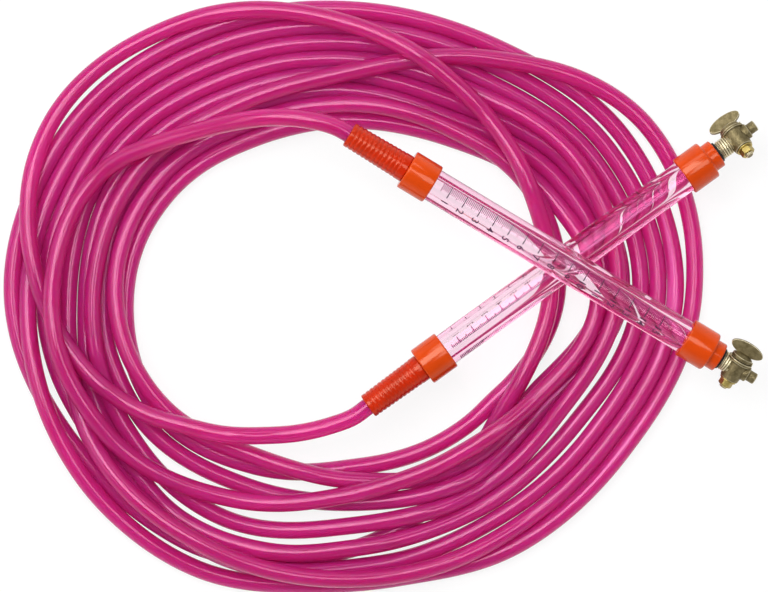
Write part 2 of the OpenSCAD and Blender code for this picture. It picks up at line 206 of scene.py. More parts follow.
@titled
class WATERLEVEL_PG_finish(bpy.types.PropertyGroup):
    hose: colour("Dyed hose", 0.66, 0.022, 0.238)
    hose_deep: colour("Deeper tone of the dyed hose", 0.56, 0.016, 0.198)
    clear: colour("Clear tube", 1.0, 0.975, 0.99)
    tint: colour("Tint of the clear tube in its depth", 1.0, 0.5, 0.75)
    # Painted reflection: fixed pink tints of the tubes' reflections stand in for the hose they mirror; tube B's deeper
    # tint is also painted shade
    sheen_a: colour("Tint of what tube A reflects", 1.0, 0.62, 0.82)
    sheen_b: colour("Tint of what tube B, low in the shade of the hose, reflects", 1.0, 0.28, 0.62)
    cap: colour("Moulded caps", 0.66, 0.056, 0.001)
    guard: colour("Ribbed bend guards", 0.60, 0.022, 0.001)
    rubber: colour("Black rings and seals", 0.012, 0.012, 0.013)
    cast_brass: colour("Dull cast brass", 0.27, 0.22, 0.115)
    # Pale edges of the cast brass are wear together with a painted highlight
    worn_brass: colour("Pale worn edges of the cast brass", 0.78, 0.70, 0.48)
    tarnish: colour("Darker tone of the cast brass", 0.10, 0.075, 0.03)
    bright_brass: colour("Turned brass", 0.50, 0.385, 0.125)
    ink: colour("Numerals and centimetre marks", 0.035, 0.003, 0.03)
    hatch: colour("Millimetre marks", 0.27, 0.004, 0.115)


@titled
class WATERLEVEL_PG_stage(bpy.types.PropertyGroup):
    camera_height: length("Height of the camera", 2.54)
    view_width: length("Width of the picture at the gauges", 0.4354)
    view_level: length("Height at which the width is measured", 0.035)
    floor_size: length("Width of the floor", 8.0)
    floor_grey: real("Brightness of the floor", 0.86, min=0.0, max=1.0)
    floor_glow: real("Share of the floor's white that has no shadow", 0.84, min=0.0, max=1.0)
    key: real("Power of the wide light above and behind the coil", 30.0, subtype="POWER")
    back: real("Power of the long light behind the coil", 11.0, subtype="POWER")
    fill: real("Power of the smaller light above and to the right of the coil", 8.0, subtype="POWER")
    side: real("Power of the long light beside the coil", 10.0, subtype="POWER")
    sky: real("Strength of the light from above", 0.22)
    backdrop: real("Strength of the pale backdrop all round", 0.9)


@titled
class WATERLEVEL_PG_settings(bpy.types.PropertyGroup):
    hose: PointerProperty(type=WATERLEVEL_PG_hose, description="Sizes of the hose")
    gauge: PointerProperty(type=WATERLEVEL_PG_gauge, description="Sizes of a gauge")
    scale: PointerProperty(type=WATERLEVEL_PG_scale, description="Sizes of the printed scale")
    valve: PointerProperty(type=WATERLEVEL_PG_valve, description="Sizes of a stopcock")
    finish: PointerProperty(type=WATERLEVEL_PG_finish, description="Colours of the finishes")
    stage: PointerProperty(type=WATERLEVEL_PG_stage, description="Camera, floor and light")


def settings():
    return bpy.context.scene.water_level


def in_mm(name):
    """Sizes of a property group, lengths in millimetres."""
    group = getattr(settings(), name)
    sizes = {}
    for prop in group.bl_rna.properties:
        if prop.identifier not in {"rna_type", "name"}:
            value = getattr(group, prop.identifier)
            sizes[prop.identifier] = value * PER_METRE if prop.unit == "LENGTH" else value
    return SimpleNamespace(**sizes)


# Places of the gauges

def gauge_frame(side):
    """Matrix from a gauge's own millimetres, hose end down, to the frame in metres."""
    zero, heading, fall = GAUGE_PLACES[side][:3]
    turn = Matrix.Rotation(math.radians(heading), 4, "Z") @ Matrix.Rotation(math.radians(90 + fall), 4, "Y")
    return Matrix.Scale(MM, 4) @ Matrix.Translation(zero) @ turn


def cock_frame(side):
    """Matrix from a stopcock's own millimetres, plug along +X, waterway along Z, to the frame in metres."""
    gauge, valve = in_mm("gauge"), in_mm("valve")
    clock, out = GAUGE_PLACES[side][3:]
    level = gauge.tube_view + gauge.cap_length + gauge.boss_length + valve.reach + out
    clock = math.radians(90 + clock)
    return gauge_frame(side) @ Matrix.Rotation(clock, 4, "Z") @ Matrix.Translation((0, 0, level))


QUARTER = math.radians(90)
ALONG_PLUG = Matrix.Rotation(QUARTER, 4, "Y")


# Meshes

# Lengths under this count as nothing
TINY = 1e-6
# Most of a corner's sides that its rounding may take
CUT_SHARE = 0.49
# Softness of a casting's edges, gain from how far a point stands out to its edge and corner mark, and rounds that blur
# the mark
CAST_SOFTEN, WEAR_AND_HIGHLIGHT_GAIN, WEAR_AND_HIGHLIGHT_BLUR = 3, 5.0, 2
# Sides of turned pieces
TUBE_SIDES, CAP_SIDES, RING_SIDES, SMALL_SIDES, PIPE_SIDES = 128, 96, 72, 64, 48


def rounded(corners, steps=5):
    """Closed outline with a radius at each corner, from (x, y, radius)."""
    outline = []
    count = len(corners)
    for i, (x, y, radius) in enumerate(corners):
        here = Vector((x, y))
        back = Vector(corners[i - 1][:2]) - here
        ahead = Vector(corners[(i + 1) % count][:2]) - here
        if radius <= 0 or min(back.length, ahead.length) < TINY:
            outline.append((x, y))
            continue
        half = back.angle(ahead) / 2
        cut = min(radius / math.tan(half), CUT_SHARE * back.length, CUT_SHARE * ahead.length)
        reach = cut * math.tan(half)
        middle = here + (back.normalized() + ahead.normalized()).normalized() * math.hypot(cut, reach)
        start = here + back.normalized() * cut - middle
        end = here + ahead.normalized() * cut - middle
        sweep = math.atan2(start.cross(end), start.dot(end))
        for k in range(steps + 1):
            spoke = start.copy()
            spoke.rotate(Matrix.Rotation(sweep * k / steps, 2))
            outline.append(tuple(middle + spoke))
    return outline


def turned(bm, outline, segments, place=Matrix.Identity(4)):
    """Add a closed outline of (radius, height) turned about Z."""
    rings = []
    for radius, height in outline:
        if radius < TINY:
            rings.append([bm.verts.new(place @ Vector((0, 0, height)))])
            continue
        rings.append([
            bm.verts.new(place @ Vector((radius * math.cos(a), radius * math.sin(a), height)))
            for a in (2 * math.pi * k / segments for k in range(segments))
        ])
    for i, ring in enumerate(rings):
        after = rings[(i + 1) % len(rings)]
        if len(ring) == 1 and len(after) == 1:
            continue
        for k in range(segments):
            corner = [ring[k % len(ring)], ring[(k + 1) % segments % len(ring)],
                      after[(k + 1) % segments % len(after)], after[k % len(after)]]
            bm.faces.new(list(dict.fromkeys(corner)))


def extruded(bm, outline, thickness, place):
    """Add a flat outline of (x, y) with a thickness about its own plane."""
    low = [bm.verts.new(place @ Vector((x, y, -thickness / 2))) for x, y in outline]
    high = [bm.verts.new(place @ Vector((x, y, thickness / 2))) for x, y in outline]
    bm.faces.new(low)
    bm.faces.new(high)
    for i in range(len(outline)):
        j = (i + 1) % len(outline)
        bm.faces.new((low[i], low[j], high[j], high[i]))


def mesh_of(bm, name):
    mesh = bpy.data.meshes.new(name)
    bm.to_mesh(mesh)
    bm.free()
    return mesh


def mesh_from(bm, name, place=None):
    """Mesh of closed shells, its faces pointing outwards."""
    if place is not None:
        bmesh.ops.transform(bm, matrix=place, verts=bm.verts)
    bmesh.ops.remove_doubles(bm, verts=bm.verts, dist=TINY if place is None else TINY * MM)
    bmesh.ops.recalc_face_normals(bm, faces=bm.faces)
    return mesh_of(bm, name)


def evaluated(piece):
    """Plain mesh of an object with its modifiers, which are then removed."""
    bpy.context.view_layer.update()
    mesh = bpy.data.meshes.new_from_object(piece.evaluated_get(bpy.context.evaluated_depsgraph_get()))
    bpy.data.objects.remove(piece)
    return mesh


def scratch_object(name, mesh):
    piece = bpy.data.objects.new(name, mesh)
    bpy.context.scene.collection.objects.link(piece)
    return piece


def cast_mesh(bm, name, voxel):
    """Mesh of overlapping shells run together, with the soft edges of a casting."""
    piece = scratch_object(name, mesh_from(bm, name))
    remesh = piece.modifiers.new("Run Together", "REMESH")
    remesh.mode = "VOXEL"
    remesh.voxel_size = voxel
    smooth = piece.modifiers.new("Soften", "SMOOTH")
    smooth.factor = 0.5
    smooth.iterations = CAST_SOFTEN
    return evaluated(piece)


def mark_wear(mesh):
    """Store how far each point stands out from its neighbours: 1 on outer edges, 0 in inner corners; pale wear and
    painted highlight go to the edges, darkening to the corners.
    """
    count = len(mesh.vertices)
    place, normal = np.empty(3 * count), np.empty(3 * count)
    mesh.vertices.foreach_get("co", place)
    mesh.vertex_normals.foreach_get("vector", normal)
    place, normal = place.reshape(-1, 3), normal.reshape(-1, 3)
    ends = np.empty(2 * len(mesh.edges), int)
    mesh.edges.foreach_get("vertices", ends)
    one, two = ends.reshape(-1, 2).T
    step = place[two] - place[one]
    step /= np.maximum(np.linalg.norm(step, axis=1), 1e-9)[:, None]
    edges = np.maximum(np.bincount(ends, minlength=count), 1)
    out_two, out_one = ((normal[end] * step).sum(1) for end in (two, one))
    stand = (np.bincount(two, out_two, count) - np.bincount(one, out_one, count)) / edges
    for _ in range(WEAR_AND_HIGHLIGHT_BLUR):
        around = np.bincount(one, stand[two], count) + np.bincount(two, stand[one], count)
        stand = (stand + around / edges) / 2
    # The mark paints pale edges, wear with a painted highlight, and darkens inner corners
    wear = mesh.attributes.new("wear", "FLOAT", "POINT")
    wear.data.foreach_set("value", np.clip(0.5 + WEAR_AND_HIGHLIGHT_GAIN * stand, 0, 1))


def finished(name, mesh, finish, body, nodes=(), sharp=40):
    """Piece at the origin that rides on a body and stands for CAD nodes."""
    mesh.name = name
    mesh.materials.clear()
    mesh.materials.append(finish)
    mesh.shade_smooth()
    if sharp:
        mesh.set_sharp_from_angle(angle=math.radians(sharp))
    piece = scratch_object(name, mesh)
    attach(piece, body)
    if nodes:
        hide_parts(*nodes)
    return piece


def ring_outline(inner, outer, low, high, inner_edge, outer_edge):
    """Corners of a plain ring or pipe."""
    return [(inner, low, inner_edge), (outer, low, outer_edge), (outer, high, outer_edge), (inner, high, inner_edge)]


def turned_mesh(name, outline, segments, place=None):
    bm = bmesh.new()
    turned(bm, outline, segments)
    return mesh_from(bm, name, place)


def turned_piece(name, corners, segments, place, finish, body, node):
    """Piece turned from an outline with rounded corners."""
    finished(name, turned_mesh(name, rounded(corners), segments, place), finish, body, (node,))


# Nodes

def fill(tree, node, inputs):
    """Set or link inputs of a node, by name or, as i0, i1 and on, by number."""
    for key, value in inputs.items():
        numbered = key[0] == "i" and key[1:].isdigit()
        socket = node.inputs[int(key[1:]) if numbered else key.replace("_", " ")]
        if isinstance(value, bpy.types.NodeSocket):
            tree.links.new(value, socket)
        else:
            socket.default_value = value


def adder(tree):
    """Function that adds a node with its options and inputs to a tree and gives the node's outputs."""
    def add(kind, options=None, /, **inputs):
        node = tree.nodes.new(kind)
        for key, value in (options or {}).items():
            setattr(node, key, value)
        fill(tree, node, inputs)
        return node.outputs

    return add


def new_tree(kind, name, inputs, outputs):
    """Node group with named sockets: the tree, what comes in, what goes out and its adder."""
    tree = bpy.data.node_groups.new(name, kind)
    for in_out, sockets in (("INPUT", inputs), ("OUTPUT", outputs)):
        for label, socket in sockets.items():
            tree.interface.new_socket(label, in_out=in_out, socket_type="NodeSocket" + socket)
    source, result = tree.nodes.new("NodeGroupInput").outputs, tree.nodes.new("NodeGroupOutput").inputs
    return tree, source, result, adder(tree)


def geometry_tree(name, counts, values):
    """Geometry tree with counts, values and a finish as inputs, its maker of sums and its last step."""
    inputs = {
        "Geometry": "Geometry", **dict.fromkeys(counts, "Int"), **dict.fromkeys(values, "Float"), "Finish": "Material",
    }
    tree, source, result, add = new_tree("GeometryNodeTree", name, inputs, {"Geometry": "Geometry"})

    def sum_up(kind, *terms):
        return add("ShaderNodeMath", {"operation": kind}, **{f"i{k}": term for k, term in enumerate(terms)})[0]

    def close(*parts):
        """Join the parts as plain geometry in the finish."""
        joined = tree.nodes.new("GeometryNodeJoinGeometry")
        for geometry in parts:
            tree.links.new(geometry, joined.inputs[0])
        plain = add("GeometryNodeRealizeInstances", Geometry=joined.outputs[0])[0]
        tree.links.new(add("GeometryNodeSetMaterial", Geometry=plain, Material=source["Finish"])[0], result[0])
        return tree

    return source, add, sum_up, close


def grown(name, base, tree, values):
    """Mesh of a tree's result on a base mesh, with the tree's inputs set by name."""
    piece = scratch_object(name, base)
    modifier = piece.modifiers.new("Nodes", "NODES")
    modifier.node_group = tree
    for item in tree.interface.items_tree:
        if item.item_type == "SOCKET" and item.in_out == "INPUT" and item.name in values:
            modifier[item.identifier] = values[item.name]
    return evaluated(piece)


def rib_tree():
    """Round ribs in a row along Z, each a little wider than the last, round the sleeve that comes in."""
    source, add, sum_up, close = geometry_tree("Guard Ribs", ["Ribs"], [
        "First", "Pitch", "Tip Radius", "Radius Step", "Rib Share", "Rib Stretch",
    ])
    start = add("ShaderNodeCombineXYZ", Z=source["First"])[0]
    pitch = add("ShaderNodeCombineXYZ", Z=source["Pitch"])[0]
    row = add("GeometryNodeMeshLine", Count=source["Ribs"], Start_Location=start, Offset=pitch)[0]
    circle = add("GeometryNodeCurvePrimitiveCircle", Resolution=64, Radius=1.0)[0]
    section = add("GeometryNodeCurvePrimitiveCircle", Resolution=14, Radius=source["Rib Share"])[0]
    ring = add("GeometryNodeCurveToMesh", Curve=circle, Profile_Curve=section)[0]
    width = sum_up("MULTIPLY_ADD", add("GeometryNodeInputIndex")[0], source["Radius Step"], source["Tip Radius"])
    size = add("ShaderNodeCombineXYZ", X=width, Y=width, Z=sum_up("MULTIPLY", width, source["Rib Stretch"]))[0]
    ribs = add("GeometryNodeInstanceOnPoints", Points=row, Instance=ring, Scale=size)[0]
    return close(ribs, source["Geometry"])


def mark_tree():
    """Marks of a millimetre scale, longer at each five and ten, wrapped round a tube along Z."""
    source, add, sum_up, close = geometry_tree("Scale Marks", ["Marks"], [
        "First", "Fine", "Half", "Long", "Stroke", "Left", "Radius", "Turn", "Step",
    ])
    bold_gain = 0.45
    start = add("ShaderNodeCombineXYZ", Z=source["First"])[0]
    pitch = add("ShaderNodeCombineXYZ", Z=source["Step"])[0]
    row = add("GeometryNodeMeshLine", Count=source["Marks"], Start_Location=start, Offset=pitch)[0]
    number = sum_up("MULTIPLY_ADD", add("GeometryNodeInputIndex")[0], source["Step"], source["First"])
    ten, five = (sum_up("LESS_THAN", sum_up("MODULO", number, every), 0.5) for every in (10.0, 5.0))
    half = sum_up("MULTIPLY_ADD", five, sum_up("SUBTRACT", source["Half"], source["Fine"]), source["Fine"])
    reach = sum_up("MULTIPLY_ADD", ten, sum_up("SUBTRACT", source["Long"], source["Half"]), half)
    stroke = sum_up("MULTIPLY_ADD", ten, sum_up("MULTIPLY", source["Stroke"], bold_gain), source["Stroke"])
    bar = add("GeometryNodeMeshGrid", Size_X=1.0, Size_Y=1.0, Vertices_X=9, Vertices_Y=2)[0]
    upright = add("GeometryNodeTransform", Geometry=bar, Translation=(0.5, 0.0, 0.0), Rotation=(QUARTER, 0.0, 0.0))[0]
    size = add("ShaderNodeCombineXYZ", X=reach, Y=1.0, Z=stroke)[0]
    marks = add("GeometryNodeInstanceOnPoints", Points=row, Instance=upright, Scale=size)[0]
    flat = add("GeometryNodeRealizeInstances", Geometry=marks)[0]
    spot = add("ShaderNodeSeparateXYZ", Vector=add("GeometryNodeInputPosition")[0])
    along = sum_up("DIVIDE", sum_up("SUBTRACT", spot["X"], source["Left"]), source["Radius"])
    angle = sum_up("ADD", along, sum_up("ADD", source["Turn"], math.pi))
    x, y = (sum_up("MULTIPLY", sum_up(kind, angle), source["Radius"]) for kind in ("COSINE", "SINE"))
    bent = add("ShaderNodeCombineXYZ", X=x, Y=y, Z=spot["Z"])[0]
    return close(add("GeometryNodeSetPosition", Geometry=flat, Position=bent)[0])


def thread_tree():
    """One ridge that winds along Z, the thread of a spigot or a plug's tail, added to the core that comes in."""
    source, add, _, close = geometry_tree("Thread", [], ["Radius", "Height", "Turns", "Ridge", "Foot"])
    wind = add("GeometryNodeCurveSpiral", Resolution=40, Rotations=source["Turns"], Start_Radius=source["Radius"],
               End_Radius=source["Radius"], Height=source["Height"])[0]
    section = add("GeometryNodeCurvePrimitiveCircle", Resolution=4, Radius=source["Ridge"])[0]
    ridge = add("GeometryNodeCurveToMesh", Curve=wind, Profile_Curve=section, Fill_Caps=True)[0]
    foot = add("ShaderNodeCombineXYZ", Z=source["Foot"])[0]
    return close(add("GeometryNodeTransform", Geometry=ridge, Translation=foot)[0], source["Geometry"])


# Finishes

def patches(add, scale, detail):
    """Soft noise over a piece."""
    place = add("ShaderNodeTexCoord")["Object"]
    return add("ShaderNodeTexNoise", Vector=place, Scale=scale, Detail=detail)["Fac"]


def blend(add, share, one, two):
    """Colour between two colours."""
    return add("ShaderNodeMix", {"data_type": "RGBA"}, Factor=share, A=one, B=two)["Result"]


def grain_group():
    """Fine grain of a moulded or cast skin: a roughness between two values and a height."""
    tree, source, result, add = new_tree(
        "ShaderNodeTree", "Skin Grain", dict.fromkeys(("Scale", "Smooth", "Rough"), "Float"),
        {"Roughness": "Float", "Height": "Float"},
    )
    noise = patches(add, source["Scale"], 4.0)
    spread = add("ShaderNodeMapRange", Value=noise, From_Min=0.3, From_Max=0.7,
                 To_Min=source["Smooth"], To_Max=source["Rough"])["Result"]
    tree.links.new(spread, result["Roughness"])
    tree.links.new(noise, result["Height"])
    return tree


def tone_group():
    """Uneven tone of a material between two colours."""
    tree, source, result, add = new_tree(
        "ShaderNodeTree", "Uneven Tone",
        {"Colour": "Color", "Deep Colour": "Color", "Scale": "Float", "Share": "Float"}, {"Colour": "Color"},
    )
    noise = patches(add, source["Scale"], 3.0)
    spread = add("ShaderNodeMapRange", Value=noise, From_Min=0.35, From_Max=0.65, To_Max=source["Share"])["Result"]
    tree.links.new(blend(add, spread, source["Colour"], source["Deep Colour"]), result["Colour"])
    return tree


def finish_for(name, tone, deep, patch, share, grain, gloss, bump, **sockets):
    """Material with uneven tone in patches, grain in its gloss and a low bump; the other sockets are plain values."""
    known = bpy.data.materials.get(name)
    if known:
        return known
    material = bpy.data.materials.new(name)
    material.use_nodes = True
    tree = material.node_tree
    add = adder(tree)
    toned = add("ShaderNodeGroup", {"node_tree": bpy.data.node_groups.get("Uneven Tone") or tone_group()},
                Colour=tone, Deep_Colour=deep, Scale=patch, Share=share)
    skin = add("ShaderNodeGroup", {"node_tree": bpy.data.node_groups.get("Skin Grain") or grain_group()},
               Scale=grain, Smooth=gloss[0], Rough=gloss[1])
    relief = add("ShaderNodeBump", Strength=1.0, Distance=bump, Height=skin["Height"])
    fill(tree, tree.nodes["Principled BSDF"], {
        "Base Color": toned["Colour"], "Roughness": skin["Roughness"], "Normal": relief["Normal"], **sockets,
    })
    return material


def shade(rgba, share):
    return (rgba[0] * share, rgba[1] * share, rgba[2] * share, 1.0)


def hose_finish():
    tones = settings().finish
    return finish_for(
        "Dyed Hose", tones.hose, tones.hose_deep, patch=14.0, share=0.7, grain=260.0, gloss=(0.08, 0.12), bump=0.000005,
        IOR=1.5, Transmission_Weight=0.4, Specular_IOR_Level=0.7, Specular_Tint=(1.0, 0.6, 0.8, 1.0),
        Subsurface_Weight=0.9, Subsurface_Radius=(1.0, 0.4, 0.65), Subsurface_Scale=0.025,
    )


def clear_finish(side):
    """Clear plastic that lets the light of the lamps through to what lies under it."""
    tones = settings().finish
    # Painted reflection and shade: each tube gets its own copy of this clear material, its reflections tinted pink,
    # deeper on tube B
    material = finish_for(
        f"Clear Tube {side.upper()}", tones.clear, shade(tones.clear, 0.97), patch=30.0, share=1.0, grain=400.0,
        gloss=(0.015, 0.03), bump=0.000004, IOR=1.49, Transmission_Weight=1.0,
        Specular_Tint=getattr(tones, f"sheen_{side}"),
    )
    tree = material.node_tree
    add = adder(tree)
    passing = add("ShaderNodeBsdfTransparent", Color=(1.0, 0.9, 0.95, 1.0))[0]
    surface = add("ShaderNodeMixShader", i0=add("ShaderNodeLightPath")["Is Shadow Ray"],
                  i1=tree.nodes["Principled BSDF"].outputs[0], i2=passing)[0]
    depth = add("ShaderNodeVolumeAbsorption", Color=tones.tint, Density=55.0)[0]
    fill(tree, tree.nodes["Material Output"], {"Surface": surface, "Volume": depth})
    return material


# Finishes of one colour: name, shade of the patches, and the numbers of finish_for
INK = dict(patch=300.0, share=1.0, grain=1500.0, gloss=(0.35, 0.5), bump=0.00001)
PLAIN_FINISHES = {
    "cap": ("Moulded Cap", 0.86, dict(
        patch=60.0, share=0.8, grain=900.0, gloss=(0.11, 0.18), bump=0.000012,
        IOR=1.5, Specular_Tint=(1.0, 0.8, 0.6, 1.0),
    )),
    "guard": ("Ribbed Guard", 0.8, dict(
        patch=90.0, share=0.8, grain=900.0, gloss=(0.11, 0.19), bump=0.00002,
        IOR=1.5, Transmission_Weight=0.08, Specular_Tint=(1.0, 0.7, 0.5, 1.0),
    )),
    "rubber": ("Black Rubber", 1.8, dict(
        patch=120.0, share=1.0, grain=1500.0, gloss=(0.45, 0.6), bump=0.00003, Specular_IOR_Level=0.2,
    )),
    "bright_brass": ("Bright Brass", 0.6, dict(
        patch=260.0, share=0.8, grain=1800.0, gloss=(0.28, 0.42), bump=0.00005, Metallic=1.0,
    )),
    "ink": ("Scale Ink", 2.0, INK),
    "hatch": ("Hatch Ink", 0.8, INK),
}


def plain_finish(key):
    name, deep, numbers = PLAIN_FINISHES[key]
    tone = getattr(settings().finish, key)
    return finish_for(name, tone, shade(tone, deep), **numbers)


# Mark at which the pale edges (wear and painted highlight) and the darker corners of a casting begin, and at which they
# are full
EDGE_WEAR_AND_HIGHLIGHT, CORNER_DARKENING = (0.66, 0.95), (0.42, 0.12)


def cast_finish():
    """Dull cast brass, pale on its edges as wear and painted highlight, and darker in its inner corners."""
    known = bpy.data.materials.get("Cast Brass")
    if known:
        return known
    tones = settings().finish
    material = finish_for(
        "Cast Brass", tones.cast_brass, tones.tarnish, patch=420.0, share=0.6, grain=1500.0, gloss=(0.40, 0.60),
        bump=0.00028, Metallic=1.0,
    )
    tree = material.node_tree
    add, base = adder(tree), tree.nodes["Principled BSDF"].inputs["Base Color"]
    wear = add("ShaderNodeAttribute", {"attribute_name": "wear"})["Fac"]
    tone = base.links[0].from_socket
    # Pale edges are wear with a painted highlight; inner corners are made darker
    for (low, high), other in ((EDGE_WEAR_AND_HIGHLIGHT, tones.worn_brass), (CORNER_DARKENING, tones.tarnish)):
        reach = add("ShaderNodeMapRange", Value=wear, From_Min=low, From_Max=high)["Result"]
        tone = blend(add, reach, tone, other)
    tree.links.new(tone, base)
    return material


# Hose

# How the hose is let down: gaps in mm, reaches in points along it or in diameters, shares, and angles in degrees
REST_GAP = 0.15
GAUGE_GAP = 0.1
PAIR_APART = 6
PAIR_REACH = 1.7
PUSH_SHARE = 0.3
PUSH_ROUNDS = 3
LEAST_FAR = 0.001
SINK_UNTIL = 0.9
GAUGES_FROM = 0.4
SIDE_BLUR, HEIGHT_BLUR, LAST_BLUR = 7, 5, 3
HEIGHT_KEEP = 0.35
FREE_FROM, FREE_TO, GRIP_TURN = 104, 248, 24
# Points of the smooth curve for each mark, and the length in mm that the guard hides
CURVE_POINTS = 96
HIDDEN_HOSE = 27


def through(keys, values, at):
    """Smooth curve through values at growing keys."""
    slopes = np.gradient(values, keys)
    i = np.clip(np.searchsorted(keys, at, side="right") - 1, 0, len(keys) - 2)
    span = keys[i + 1] - keys[i]
    s = (at - keys[i]) / span
    return (
        (2 * s**3 - 3 * s**2 + 1) * values[i] + (s**3 - 2 * s**2 + s) * span * slopes[i]
        + (3 * s**2 - 2 * s**3) * values[i + 1] + (s**3 - s**2) * span * slopes[i + 1]
    )


def gauge_line(side, level):
    """Point on a gauge's axis, in mm."""
    return tuple(gauge_frame(side) @ Vector((0, 0, level)) / MM)


def evenly(points, step, also):
    """Points at even steps along a line seen from above, with another value carried along."""
    run = np.concatenate([[0], np.cumsum(np.hypot(*np.diff(points[:, :2], axis=0).T))])
    at = np.linspace(0, run[-1], int(round(run[-1] / step)) + 1)
    return np.stack([np.interp(at, run, points[:, k]) for k in range(3)], 1), np.interp(at, run, also)


def laid_route(sizes, guard_foot, hidden):
    """The hose as it is laid down, before it sinks: points in mm and the angle wound at each."""
    wide = sizes.diameter

    def polar(places, turned_before):
        return [(turned_before + math.degrees(math.atan2(y, x)) % 360, math.hypot(x, y), z) for x, y, z in places]

    places = [gauge_line("a", level) for level in (hidden, guard_foot, guard_foot - wide / 2)]
    marks = polar(places + TAIL_A_ROUTE, 0)
    for row, ((start, radii), order) in enumerate(zip(LOOPS, LOOP_ORDER)):
        level = wide / 2 + LOOP_DROP * order
        marks += [(360 * row + start + LOOP_STEP * k, radius, level) for k, radius in enumerate(radii)]
    places = [gauge_line("b", level) for level in (guard_foot - wide, guard_foot, hidden)]
    marks += polar(TAIL_B_ROUTE + places, 360 * (len(LOOPS) - 1))
    wound, radius, height = np.array(marks, float).T
    at = np.linspace(wound[0], wound[-1], CURVE_POINTS * len(marks))
    r, z, a = through(wound, radius, at), through(wound, height, at), np.radians(at)
    return evenly(np.stack([r * np.cos(a), r * np.sin(a), z], 1), sizes.ring_step, at)


def near_pairs(points, apart, reach):
    """Pairs of points that lie near each other seen from above, and not next to each other on the hose."""
    first, second = [], []
    for i in range(len(points) - apart):
        away = np.hypot(*(points[i + apart:, :2] - points[i, :2]).T)
        found = np.nonzero(away < reach)[0] + i + apart
        first.append(np.full(len(found), i))
        second.append(found)
    return np.concatenate(first), np.concatenate(second)


def blurred(values, reach):
    weight = np.hanning(2 * reach + 3)[1:-1]
    padded = np.pad(values, ((reach, reach), (0, 0)), "edge")
    return np.stack([np.convolve(padded[:, k], weight / weight.sum(), "valid") for k in range(values.shape[1])], 1)


def pushed_apart(points, pairs, gap):
    """Move points that are closer than the gap away from each other."""
    first, second = pairs
    away = points[second] - points[first]
    far = np.linalg.norm(away, axis=1)
    close = far < gap
    first, second, away, far = first[close], second[close], away[close], far[close]
    push = away / np.maximum(far, LEAST_FAR)[:, None] * ((gap - far) * PUSH_SHARE)[:, None]
    count = len(points)
    share = np.maximum(1, 0.5 * (np.bincount(first, minlength=count) + np.bincount(second, minlength=count)))
    move = np.stack([
        np.bincount(second, push[:, k], count) - np.bincount(first, push[:, k], count) for k in range(3)
    ], 1)
    return points + move / share[:, None]


def clear_of_gauges(points, sizes, gauge):
    """Move points out of the tubes and caps that lie on the coil."""
    for side in SIDES:
        ends = (-gauge.cap_length, gauge.tube_view + gauge.cap_length)
        foot, head = (np.array(gauge_line(side, level)) for level in ends)
        axis = (head - foot) / np.linalg.norm(head - foot)
        run = np.clip((points - foot) @ axis, 0, np.linalg.norm(head - foot))
        out = points - foot - run[:, None] * axis
        far = np.maximum(np.linalg.norm(out, axis=1), LEAST_FAR)
        in_cap = (run < gauge.cap_length) | (run > ends[1])
        keep = np.where(in_cap, gauge.cap_diameter, gauge.tube_diameter) / 2 + sizes.diameter / 2 + GAUGE_GAP
        inside = far < keep
        points[inside] += (out / far[:, None] * (keep - far)[:, None])[inside]
    return points


def settled(points, wound, sizes, gauge):
    """Let the loops sink onto the floor, each other and under the gauges, in even steps."""
    home = points.copy()
    pairs = near_pairs(points, PAIR_APART, PAIR_REACH * sizes.diameter)
    free = np.minimum(wound - FREE_FROM, 360 * (len(LOOPS) - 1) + FREE_TO - wound) / GRIP_TURN
    grip = (1 - np.clip(free, 0, 1))[:, None] ** 2
    for step in range(sizes.settle_steps):
        share = step / sizes.settle_steps
        if share < SINK_UNTIL:
            points[:, 2] -= sizes.sink * math.sqrt(1 - share)
        points[:, :2] = home[:, :2] + blurred(points[:, :2] - home[:, :2], SIDE_BLUR) * sizes.hold
        points[:, 2:] = HEIGHT_KEEP * points[:, 2:] + (1 - HEIGHT_KEEP) * blurred(points[:, 2:], HEIGHT_BLUR)
        for _ in range(PUSH_ROUNDS):
            points = pushed_apart(points, pairs, sizes.diameter + REST_GAP)
            if share > GAUGES_FROM:
                points = clear_of_gauges(points, sizes, gauge)
            points[:, 2] = np.maximum(points[:, 2], sizes.diameter / 2)
            points += (home - points) * grip
    return points + blurred(points - home, LAST_BLUR) - (points - home)


def swept_mesh(name, points, radius, sides):
    """Tube along points, closed at both ends, with its length and its round in a UV map."""
    ahead = np.gradient(points, axis=0)
    ahead /= np.linalg.norm(ahead, axis=1)[:, None]
    side = np.cross(ahead, (0.0, 0.0, 1.0))
    side /= np.linalg.norm(side, axis=1)[:, None]
    up = np.cross(side, ahead)
    angle = 2 * np.pi * np.arange(sides) / sides
    spokes = np.cos(angle)[:, None] * side[:, None] + np.sin(angle)[:, None] * up[:, None]
    rings = points[:, None] + radius * spokes
    bm = bmesh.new()
    grid = [[bm.verts.new(p) for p in ring] for ring in rings]
    uv = bm.loops.layers.uv.new("Along")
    run = np.concatenate([[0], np.cumsum(np.linalg.norm(np.diff(points, axis=0), axis=1))])
    for i in range(len(grid) - 1):
        for k in range(sides):
            j = (k + 1) % sides
            face = bm.faces.new((grid[i][k], grid[i][j], grid[i + 1][j], grid[i + 1][k]))
            face.smooth = True
            corners = ((run[i], k), (run[i], k + 1), (run[i + 1], k + 1), (run[i + 1], k))
            for loop, (along, turn) in zip(face.loops, corners):
                loop[uv].uv = (along, turn / sides)
    bm.faces.new(grid[0])
    bm.faces.new(grid[-1])
    return mesh_from(bm, name)


